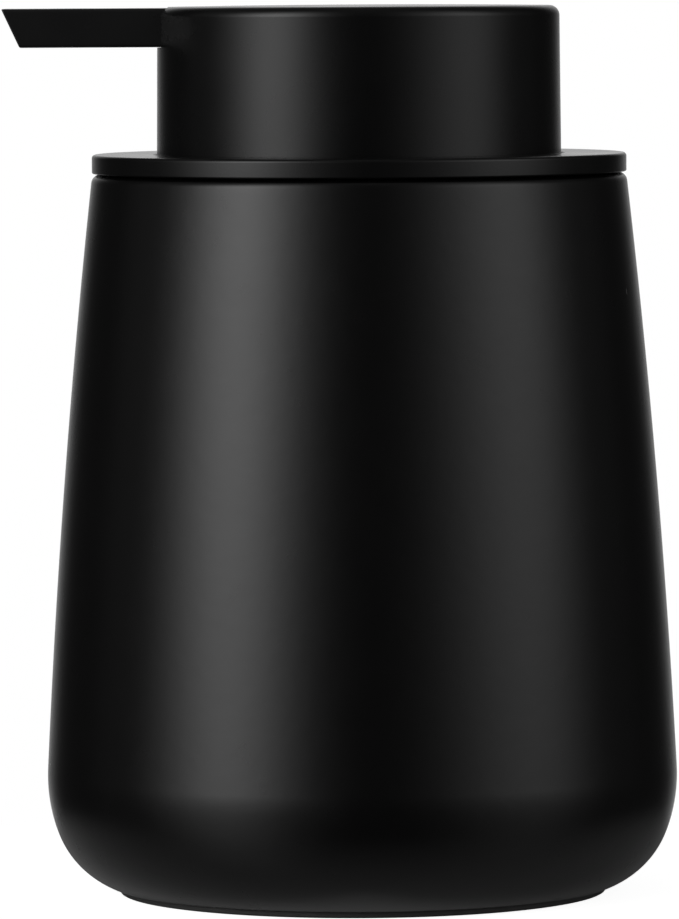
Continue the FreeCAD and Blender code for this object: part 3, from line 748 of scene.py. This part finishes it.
@dataclass
class Jar(Assembly):
    """The stoneware jar and the soft pad under it."""

    wall: float = 4.1 * MM
    floor: float = 5.0 * MM
    corner_radius: float = 11.8 * MM
    belly_radius: float = 20.5 * MM
    belly_slope: float = 0.38
    foot_inset: float = 8.35 * MM
    wall_slope: float = 0.05
    disc_overhang: float = 0.03 * MM
    rim_wall: float = 4.05 * MM
    rim_round: float = 1.2 * MM
    mouth_land: float = 9.8 * MM
    mouth_round: float = 0.8 * MM
    inner_round: float = 11.0 * MM
    pad_fit: float = 0.2 * MM
    pad_round: float = 0.3 * MM
    wall_steps: int = 40
    corner_steps: int = 24
    belly_steps: int = 16
    inner_steps: int = 6

    def build(self) -> None:
        """Shape the jar and its pad."""
        low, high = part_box("jar")
        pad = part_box("base_pad")[1]
        foot = Turn(high.x - self.foot_inset, low.z)
        tuck, lean = math.atan(self.belly_slope), math.atan(self.wall_slope)
        step = self.belly_radius - self.corner_radius
        belly = high.x - self.belly_radius
        across = belly + step * math.cos(tuck)
        up = low.z + math.sqrt(self.corner_radius ** 2 - (foot.radius - across) ** 2)
        under = on_arc(Turn(across, up), self.corner_radius, -tuck)
        start = on_arc(Turn(belly, up + step * math.sin(tuck)), self.belly_radius, lean)
        rim = Turn(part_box("lid_disc")[1].x - self.disc_overhang, high.z, self.rim_round)
        run, rise = start.radius - rim.radius, rim.height - start.height
        bow = (run ** 2 + rise ** 2) / (2 * (run * math.cos(lean) - rise * math.sin(lean)))
        mouth = rim.radius - self.rim_wall
        land = Turn(mouth, high.z - self.mouth_land)
        inner_foot = Turn(high.x - self.wall, pad.z + self.floor, self.inner_round)
        outline = [
            Turn(0.0, pad.z),
            Turn(pad.x + self.pad_fit, pad.z),
            Turn(pad.x + self.pad_fit, low.z),
            foot,
            *bowed(foot, under, self.corner_radius, self.corner_steps),
            under,
            *bowed(under, start, self.belly_radius, self.belly_steps),
            start,
            *bowed(start, rim, bow, self.wall_steps),
            rim,
            Turn(mouth, high.z, self.mouth_round),
            land,
            *reversed(bowed(inner_foot, land, bow, self.inner_steps)),
            inner_foot,
            Turn(0.0, inner_foot.height),
        ]
        self.settle("glazed_jar", turned(outline, rounds=FINE_ROUNDS), BLACK_GLAZE, "jar")
        disc = [Turn(0.0, 0.0), Turn(pad.x, 0.0, self.pad_round), Turn(pad.x, pad.z), Turn(0.0, pad.z)]
        # The pad's lightened rubber is a painted reflection of the floor along the base.
        self.settle("foot_pad", turned(disc), PAD_RUBBER_PAINTED_REFLECTION, "base_pad")


@dataclass
class Lid(Assembly):
    """The cover disc, the cup below it and the silicone ring that seats them in the mouth."""

    head_clearance: float = 0.36 * MM
    recess_fit: float = 0.2 * MM
    top_round: float = 0.45 * MM
    under_round: float = 0.2 * MM
    bore_round: float = 0.3 * MM
    cup_wall: float = 1.55 * MM
    cup_floor: float = 1.8 * MM
    cup_flange_step: float = 2.3 * MM
    cup_bore_step: float = 0.05 * MM
    cup_round: float = 1.5 * MM
    cup_inner_round: float = 1.0 * MM
    barrel_hole: float = 7.4 * MM
    lip_count: int = 3
    lip_clearance: float = 0.1 * MM
    lip_reach: float = 1.0 * MM
    lip_margin: float = 0.8 * MM
    lip_ramp: float = 1.0 * MM
    lip_width: float = 0.3 * MM
    flange_round: float = 0.15 * MM

    def build(self) -> None:
        """Shape the disc, the cup and the ring."""
        disc_low, disc_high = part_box("lid_disc")
        cup_low, cup_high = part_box("guide_cup")
        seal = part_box("mouth_seal")[1]
        disc_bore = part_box("head_shell")[1].x + self.head_clearance
        recess = seal.x + self.recess_fit
        disc = [
            Turn(disc_bore, cup_high.z),
            Turn(recess, cup_high.z),
            Turn(recess, disc_low.z),
            Turn(disc_high.x, disc_low.z, self.under_round),
            Turn(disc_high.x, disc_high.z, self.top_round),
            Turn(disc_bore, disc_high.z, self.bore_round),
        ]
        self.settle("cover_disc", turned(disc), BLACK_COAT, "lid_disc")
        bore = disc_bore + self.cup_bore_step
        outside = bore + self.cup_wall
        floor_top = cup_low.z + self.cup_floor
        cup = [
            Turn(outside, cup_low.z, self.cup_round),
            Turn(outside, seal.z),
            Turn(cup_high.x, seal.z),
            Turn(cup_high.x, cup_high.z),
            Turn(bore, cup_high.z),
            Turn(bore, floor_top, self.cup_inner_round),
            Turn(self.barrel_hole, floor_top),
            Turn(self.barrel_hole, cup_low.z),
        ]
        self.settle("plunge_cup", turned(cup), BLACK_PLASTIC, "guide_cup")
        lip = cup_high.x - self.cup_flange_step - self.lip_clearance
        ring = self.lips(lip, outside + self.cup_bore_step)
        self.settle("lip_ring", turned(ring), BLACK_SILICONE, "mouth_seal")

    def lips(self, lip: float, bore: float) -> list[Turn]:
        """Outline the silicone ring.

        Args:
            lip: radius of the lips.
            bore: radius of the ring's bore.

        Returns:
            The outline's corners.
        """
        low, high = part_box("mouth_seal")
        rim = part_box("jar")[1].z
        neck = lip - self.lip_reach
        pitch = (rim - low.z - self.lip_margin) / self.lip_count
        outline = [Turn(bore, low.z), Turn(neck, low.z)]
        for number in range(self.lip_count):
            start = low.z + self.lip_width + number * pitch
            crest = start + self.lip_ramp
            outline += [Turn(neck, start), Turn(lip, crest)]
            outline += [Turn(lip, crest + self.lip_width), Turn(neck, crest + 2 * self.lip_width)]
        outline += [Turn(neck, rim), Turn(high.x, rim, self.flange_round)]
        return outline + [Turn(high.x, high.z), Turn(bore, high.z)]


@dataclass
class Pump(Assembly):
    """The barrel with its nut, collar, tube, spring and inlet valve, all held by the lid."""

    bore: float = 6.0 * MM
    barrel_wall: float = 1.25 * MM
    flange: float = 1.4 * MM
    edge_round: float = 0.25 * MM
    chest_round: float = 0.6 * MM
    chest: float = 5.6 * MM
    chest_slope: float = 1.6 * MM
    ball_bore: float = 3.6 * MM
    throat: float = 1.8 * MM
    throat_length: float = 2.8 * MM
    socket_wall: float = 1.4 * MM
    vent: float = 0.6 * MM
    vent_drop: float = 1.8 * MM
    tube_fit: float = 0.03 * MM
    tube_wall: float = 0.8 * MM
    tube_round: float = 0.1 * MM
    tube_slant: float = math.radians(30)
    nut_fit: float = 0.05 * MM
    nut_wall: float = 3.2 * MM
    nut_round: float = 0.5 * MM
    grip_radius: float = 0.9 * MM
    grip_count: int = 16
    thread_pitch: float = 1.6 * MM
    thread_land: float = 0.3 * MM
    thread_foot: float = 0.65 * MM
    thread_root: float = 0.1 * MM
    wire: float = 0.4 * MM
    dead_turns: float = 1.0
    live_turns: float = 5.5
    wire_facets: int = 12

    def build(self) -> None:
        """Shape the barrel, nut, tube and spring, and coat the rest."""
        self.build_barrel()
        self.build_nut()
        self.build_tube()
        self.build_spring()
        self.coat(PALE_PLASTIC, "stem_guide", "ball_cage")
        self.coat(PALE_RUBBER, "pump_gasket", "stem_wiper")
        self.coat(BRIGHT_STEEL, "inlet_ball")

    def build_barrel(self) -> None:
        """Turn the barrel, drill its vent and wind the thread that its nut grips."""
        low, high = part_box("pump_housing")
        socket_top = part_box("dip_tube")[1]
        nut_low, nut_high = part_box("lock_nut")
        outside = self.bore + self.barrel_wall
        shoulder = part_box("ball_cage")[0].z
        throat = socket_top.z + self.throat_length
        socket = socket_top.x + self.tube_fit
        socket_outside = socket + self.socket_wall
        under_flange = high.z - self.flange
        outline = [
            Turn(self.bore, shoulder),
            Turn(self.ball_bore, shoulder),
            Turn(self.ball_bore, throat + self.ball_bore - self.throat),
            Turn(self.throat, throat),
            Turn(self.throat, socket_top.z),
            Turn(socket, socket_top.z),
            Turn(socket, low.z),
            Turn(socket_outside, low.z, self.edge_round),
            Turn(socket_outside, throat - self.chest_slope, self.chest_round),
            Turn(self.chest, throat, self.chest_round),
            Turn(self.chest, shoulder - self.chest_slope, self.chest_round),
            Turn(outside, shoulder, self.edge_round),
            Turn(outside, under_flange),
            Turn(high.x, under_flange, self.edge_round),
            Turn(high.x, high.z, self.edge_round),
            Turn(self.bore, high.z, self.edge_round),
        ]
        crest = outside + self.nut_fit / 2
        root = outside - self.thread_root
        start = nut_low.z - self.thread_pitch
        foot, land = self.thread_foot / 2, self.thread_land / 2
        corners = ((root, -foot), (crest, -land), (crest, land), (root, foot))
        ridge = [Vector((across, 0.0, start + up)) for across, up in corners]
        rise = nut_high.z - nut_low.z + 2 * self.thread_pitch
        thread = wound(ridge, [Run(rise / self.thread_pitch, rise)])
        vent = Vector((0, 0, nut_low.z - self.vent_drop))
        drill = rod(self.vent, vent, vent + Vector((high.x, 0, 0)), Fineness.FINE)
        tube = carved(turned(outline, Fineness.INNER), [drill])
        self.settle("barrel", merged([tube, thread]), PALE_PLASTIC, "pump_housing")

    def build_nut(self) -> None:
        """Turn the nut and cut its grip notches."""
        low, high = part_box("lock_nut")
        bore = self.bore + self.barrel_wall + self.nut_fit
        radius = bore + self.nut_wall
        outline = [Turn(bore, low.z), Turn(radius, low.z, self.nut_round)]
        outline += [Turn(radius, high.z), Turn(bore, high.z)]
        notches = []
        for number in range(self.grip_count):
            angle = TURN * number / self.grip_count
            foot = Vector((radius * math.cos(angle), radius * math.sin(angle), low.z - self.nut_round))
            top = foot + UP * (high.z - low.z + 2 * self.nut_round)
            notches.append(rod(self.grip_radius, foot, top, Fineness.FINE))
        nut = carved(turned(outline, Fineness.INNER), [merged(notches)])
        self.settle("grip_nut", nut, BLACK_PLASTIC, "lock_nut")

    def build_tube(self) -> None:
        """Turn the dip tube and cut its lower end at a slant."""
        low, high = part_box("dip_tube")
        bore = high.x - self.tube_wall
        below = low.z - self.tube_wall
        outline = [Turn(bore, below), Turn(high.x, below)]
        outline += [Turn(radius, high.z, self.tube_round) for radius in (high.x, bore)]
        mesh = turned(outline, Fineness.SMALL)
        whole = mesh.verts[:] + mesh.edges[:] + mesh.faces[:]
        cut = bmesh.ops.bisect_plane(
            mesh, geom=whole, plane_co=Vector((high.x, 0, low.z)), clear_outer=True,
            plane_no=Vector((-math.sin(self.tube_slant), 0, -math.cos(self.tube_slant))),
        )
        rims = [item for item in cut["geom_cut"] if isinstance(item, bmesh.types.BMEdge)]
        bmesh.ops.bridge_loops(mesh, edges=rims)
        self.settle("suction_tube", outward(mesh), TUBE_PLASTIC, "dip_tube")

    def build_spring(self) -> None:
        """Wind the return spring with a closed turn at each end."""
        low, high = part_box("return_spring")
        height = high.z - low.z
        middle = Vector((high.x - self.wire, 0.0, low.z + self.wire))
        angles = [TURN * number / self.wire_facets for number in range(self.wire_facets)]
        ring = [middle + self.wire * Vector((math.cos(angle), 0.0, math.sin(angle))) for angle in angles]
        closed = Run(self.dead_turns, 2 * self.wire)
        live = Run(self.live_turns, height - 2 * self.wire - 2 * closed.rise)
        coil = wound(ring, [closed, live, closed])
        spring = self.settle("coil_spring", coil, BRIGHT_STEEL, "return_spring")
        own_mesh(spring)


@dataclass
class Head(Assembly):
    """The plunging cylinder, the spout and what they hold inside."""

    draft: float = 0.19 * MM
    wall: float = 2.0 * MM
    top_wall: float = 1.5 * MM
    top_round: float = 1.3 * MM
    crown: float = 0.2 * MM
    crown_steps: int = 8
    foot_round: float = 0.4 * MM
    inner_round: float = 0.8 * MM
    grip_bore: float = 8.05 * MM
    grip_radius: float = 9.6 * MM
    grip_depth: float = 5.65 * MM
    spout_width: float = 11.0 * MM
    spout_height: float = 4.92 * MM
    spout_slant: float = 2.3 * MM
    spout_round: float = 0.4 * MM
    spout_fit: float = 0.1 * MM
    retainer_lip: float = 1.5 * MM
    retainer_drop: float = 1.0 * MM
    retainer_thickness: float = 1.4 * MM
    root_gap: float = 0.33 * MM
    tip_round: float = 0.2 * MM
    tube: float = 1.55 * MM
    tube_floor: float = 0.05 * MM
    channel: float = 0.9 * MM
    nozzle: float = 1.2 * MM
    nozzle_depth: float = 1.2 * MM

    def build(self) -> None:
        """Shape the shell and the spout, and coat the rest."""
        self.build_shell()
        self.build_spout()
        self.coat(BLACK_PLASTIC, "stem", "actuator_core")
        self.coat(PALE_RUBBER, "spout_seal")
        self.coat(BRIGHT_STEEL, "outlet_ball")
        self.coat(PALE_PLASTIC, "piston")

    def seat(self) -> tuple[float, float, float, float, float]:
        """Find where the spout sits in the shell.

        Returns:
            Where the spout's inner end stands and where its top begins, along X, then the heights
            of the shell's ceiling, the spout's underside and its tube's axis.
        """
        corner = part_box("head_shell")[1]
        inside = corner.x - self.wall - self.draft
        root = self.root_gap - math.sqrt(inside ** 2 - (self.spout_width / 2 + self.retainer_lip) ** 2)
        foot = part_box("spout")[1].z - self.spout_height
        ceiling = corner.z - self.crown - self.top_wall
        return root, self.draft + self.top_round - corner.x, ceiling, foot, foot + self.tube_floor + self.tube

    def build_shell(self) -> None:
        """Turn the shell, and cut the spout's notch and its tube's passage."""
        low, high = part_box("head_shell")
        root, notch, ceiling, foot, axis = self.seat()
        edge = Turn(high.x - self.draft, high.z - self.crown, self.top_round)
        crest = Turn(0.0, high.z)
        bow = (edge.radius ** 2 + self.crown ** 2) / (2 * self.crown)
        outline = [
            Turn(0.0, ceiling),
            Turn(self.grip_bore, ceiling),
            Turn(self.grip_bore, ceiling - self.grip_depth),
            Turn(self.grip_radius, ceiling - self.grip_depth),
            Turn(self.grip_radius, ceiling),
            Turn(high.x - self.wall - self.draft, ceiling, self.inner_round),
            Turn(high.x - self.wall, low.z),
            Turn(high.x, low.z, self.foot_round),
            edge,
            *bowed(edge, crest, bow, self.crown_steps),
            crest,
        ]
        beyond = high.x + self.wall
        opening = [
            (-beyond, foot - self.spout_fit),
            (root + self.spout_fit, foot - self.spout_fit),
            (root + self.spout_fit, ceiling),
            (notch + self.spout_fit, ceiling),
            (notch + self.spout_fit, high.z + self.wall),
            (-beyond, high.z + self.wall),
        ]
        cutters = [
            prism(opening, self.spout_width + 2 * self.spout_fit),
            rod(self.tube + self.spout_fit, Vector((root, 0, axis)), Vector((0, 0, axis)), Fineness.FINE),
        ]
        shell = carved(turned(outline, rounds=FINE_ROUNDS), cutters)
        self.settle("plunger_head", shell, SOFT_TOUCH, "head_shell")

    def build_spout(self) -> None:
        """Pull the bar from its side outline, round it, add its flange and tube, and bore it."""
        low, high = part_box("spout")
        root, notch, ceiling, foot, axis = self.seat()
        ledge = ceiling - self.spout_fit
        side = [
            (root, foot),
            (root, ledge),
            (notch, ledge),
            (notch, high.z),
            (low.x, high.z),
            (low.x + self.spout_slant, foot),
        ]
        bar = prism(side, self.spout_width)
        long_side = 2 * self.spout_slant
        soften(bar, lambda edge: abs(edge.verts[0].co.x - edge.verts[1].co.x) > long_side, self.spout_round)
        tip = low.x + self.spout_slant + WELD
        soften(bar, lambda edge: all(vertex.co.x < tip for vertex in edge.verts), self.tip_round)
        back = root - self.spout_fit
        flange = [
            (back, foot - self.retainer_drop),
            (back + self.retainer_thickness, foot - self.retainer_drop),
            (back + self.retainer_thickness, ledge - self.inner_round),
            (back, ledge - self.inner_round),
        ]
        extras = [
            prism(flange, self.spout_width + 2 * self.retainer_lip),
            rod(self.tube, Vector((root, 0, axis)), Vector((high.x, 0, axis)), Fineness.SMALL),
        ]
        mouth = Vector((low.x - self.nozzle_depth, 0, axis))
        step = Vector((low.x + self.spout_slant + self.nozzle_depth, 0, axis))
        bores = [
            rod(self.nozzle, mouth, step, Fineness.SMALL),
            rod(self.channel, mouth, Vector((0, 0, axis)), Fineness.SMALL),
        ]
        self.settle("flat_spout", carved(bar, bores, extras), MATT_ABS, "spout")


# --- Stage, light and camera ---


@dataclass(frozen=True)
class SoftBox:
    """A large soft box in the studio round the object, brightest in its middle.

    Attributes:
        azimuth: degrees from the front towards +X.
        front_spread: degrees over which it fades towards the front.
        rear_spread: degrees over which it fades towards the rear.
        strength: its radiance, where 1 is white.
    """

    azimuth: float
    front_spread: float
    rear_spread: float
    strength: float


@dataclass
class Studio:
    """Dark room with two soft boxes and two faint lights, a white sheet, a pale floor and the camera.

    Heights in the room are sines of the elevation, and strengths are 1 for white.

    Attributes:
        boxes: the lights, which all share one height.
        sheet_spread: degrees from the rear over which the sheet fades.
        sheet_fade: height from which the sheet fades; sheet_top is where it has faded.
        room: strength of the walls up to ceiling_start; ceiling is the strength straight above.
        box_low: height at which the lights start; up to box_foot they reach box_dim of their strength.
        box_full: height at which they are full.
        box_fade: height from which they fade; box_top is where they have faded.
        table_middle: how far behind the axis the middle of the lit floor lies.
        table_inner: how far from there the floor is whole; at table_outer it throws no light.
        shadow_share: share of its shadow that shows.
        floor_light: strength of the light on the bare floor.
    """

    boxes: tuple[SoftBox, ...] = (
        SoftBox(-51.0, 20.0, 21.0, 3.98),
        SoftBox(67.0, 29.0, 19.0, 1.41),
        SoftBox(-105.0, 10.0, 10.0, 0.10),
        SoftBox(111.0, 9.0, 9.0, 0.06),
    )
    sheet_spread: float = 17.0
    sheet_fade: float = 0.45
    sheet_top: float = 0.9
    room: float = 0.022
    box_low: float = -0.95
    box_foot: float = -0.22
    box_full: float = 0.27
    box_dim: float = 0.16
    box_fade: float = 0.33
    box_top: float = 0.97
    ceiling: float = 0.12
    ceiling_start: float = 0.5
    floor_reach: float = 40.0
    clip_end: float = 160.0
    table_middle: float = 0.018
    table_inner: float = 0.041
    table_outer: float = 0.081
    floor_colour: Colour = (0.88, 0.88, 0.88)
    shadow_share: float = 0.8
    floor_light: float = 0.10
    eye_distance: float = 1.0
    eye_height: float = 0.116
    eye_side: float = -0.0027
    eye_pitch: float = math.radians(3.488)
    eye_roll: float = math.radians(0.32)
    lens: float = 308.37
    sensor: float = 36.0

    def build(self) -> None:
        """Set up the stage around the object."""
        self.light_world()
        self.lay_floor()
        self.set_camera()
        bpy.context.scene.view_settings.view_transform = "Standard"

    def plain_rays(self, graph: Graph) -> Socket:
        """Return 1 for rays that look at the background or through something at it."""
        path = graph.add("ShaderNodeLightPath")
        return graph.maths("MAXIMUM", path.outputs["Is Camera Ray"], path.outputs["Is Transmission Ray"])

    def bell(self, graph: Graph, turn: Socket, middle: float, below: float, above: float) -> Socket:
        """Return a value that falls from 1 like a bell to both sides of an azimuth.

        Args:
            graph: the world's graph.
            turn: azimuth in radians.
            middle: degrees at which the value is 1.
            below: degrees below the middle at which it has fallen to a third.
            above: degrees above the middle at which it has fallen to a third.

        Returns:
            The bell's value.
        """
        maths = graph.maths
        off = maths("SUBTRACT", turn, math.radians(middle))
        over = maths("DIVIDE", maths("MAXIMUM", off, 0.0), math.radians(above))
        under = maths("DIVIDE", maths("MINIMUM", off, 0.0), math.radians(below))
        share = maths("ADD", over, under)
        return maths("EXPONENT", maths("MULTIPLY", maths("MULTIPLY", share, share), -1.0))

    def light_world(self) -> None:
        """Make the surround: white in view, and in reflections a dark room with its lights."""
        world = bpy.data.worlds.new("studio_room")
        bpy.context.scene.world = world
        graph = Graph(world)
        maths, remap = graph.maths, graph.remap
        way = graph.add("ShaderNodeSeparateXYZ", graph.add("ShaderNodeTexCoord").outputs["Generated"])
        across, depth, height = (way.outputs[name] for name in "XYZ")
        turn = maths("ARCTAN2", across, maths("MULTIPLY", depth, -1.0))
        rising = remap(height, 0.0, 1.0 - self.box_dim, self.box_foot, self.box_full, smooth=True)
        rising = maths("ADD", rising, remap(height, 0.0, self.box_dim, self.box_low, self.box_foot))
        tall = maths("MULTIPLY", rising, remap(height, 1.0, 0.0, self.box_fade, self.box_top, smooth=True))
        light = remap(height, self.room, self.ceiling, self.ceiling_start, 1.0)
        for box in self.boxes:
            spreads = (box.front_spread, box.rear_spread)
            below, above = spreads if box.azimuth > 0 else reversed(spreads)
            shape = maths("MULTIPLY", self.bell(graph, turn, box.azimuth, below, above), tall)
            light = maths("ADD", light, maths("MULTIPLY", shape, box.strength))
        rear = maths("ARCTAN2", across, depth)
        sheet = self.bell(graph, rear, 0.0, self.sheet_spread, self.sheet_spread)
        hung = remap(height, 1.0, 0.0, self.sheet_fade, self.sheet_top, smooth=True)
        mirrored = graph.add("ShaderNodeLightPath").outputs["Is Glossy Ray"]
        sheet = maths("MULTIPLY", maths("MULTIPLY", sheet, hung), mirrored)
        strength = maths("MAXIMUM", maths("MAXIMUM", light, sheet), 0.0)
        shade, white = (
            graph.add("ShaderNodeBackground", WHITE, radiance).outputs["Background"]
            for radiance in (strength, 1.0)
        )
        graph.add("ShaderNodeOutputWorld", graph.blend_shaders(self.plain_rays(graph), shade, white))

    def lay_floor(self) -> None:
        """Lay a pale floor that looks white, keeps the object's shadow, and ends in the dark room."""
        mesh = bmesh.new()
        bmesh.ops.create_circle(mesh, cap_ends=True, radius=self.floor_reach, segments=Fineness.SMALL.value)
        floor = linked("pale_floor", mesh)
        material = bpy.data.materials.new("pale_floor")
        graph = Graph(material)
        matt = graph.add("ShaderNodeBsdfDiffuse", (*self.floor_colour, 1.0)).outputs["BSDF"]
        clear = graph.add("ShaderNodeBsdfTransparent").outputs["BSDF"]
        middle = (0.0, self.table_middle, 0.0)
        reach = graph.add("ShaderNodeVectorMath", graph.place(), middle, operation="DISTANCE")
        far = graph.remap(reach.outputs["Value"], 0.0, 1.0, self.table_inner, self.table_outer, smooth=True)
        plain = graph.remap(far, 1.0 - self.shadow_share * self.floor_light, 1.0)
        white, black = (
            graph.add("ShaderNodeEmission", WHITE, radiance).outputs["Emission"]
            for radiance in (plain, 0.0)
        )
        lit = graph.blend_shaders(graph.remap(far, self.shadow_share, 0.0), black, matt)
        shown = graph.add("ShaderNodeAddShader", white, lit).outputs["Shader"]
        felt = graph.blend_shaders(far, matt, clear)
        graph.add("ShaderNodeOutputMaterial", graph.blend_shaders(self.plain_rays(graph), felt, shown))
        floor.data.materials.append(material)

    def set_camera(self) -> None:
        """Stand the camera level with the top of the head, a metre in front."""
        lens = bpy.data.cameras.new("camera")
        lens.lens = self.lens
        lens.sensor_width = self.sensor
        lens.sensor_fit = "AUTO"
        lens.clip_end = self.clip_end
        camera = bpy.data.objects.new("camera", lens)
        bpy.context.scene.collection.objects.link(camera)
        place = Matrix.Translation((self.eye_side, -self.eye_distance, self.eye_height))
        tilt = Matrix.Rotation(math.pi / 2 - self.eye_pitch, 4, "X")
        roll = Matrix.Rotation(-self.eye_roll, 4, "Z")
        camera.matrix_world = place @ tilt @ roll
        bpy.context.scene.camera = camera


def main() -> None:
    """Build every sub-assembly and the stage."""
    logging.basicConfig(level=logging.INFO, format="%(message)s")
    for assembly in (Jar(Body.JAR), Lid(Body.LID), Pump(Body.LID), Head(Body.HEAD)):
        assembly.build()
        LOG.info("%s: %s", type(assembly).__name__, ", ".join(assembly.made))
    Studio().build()


if __name__ == "__main__":
    main()
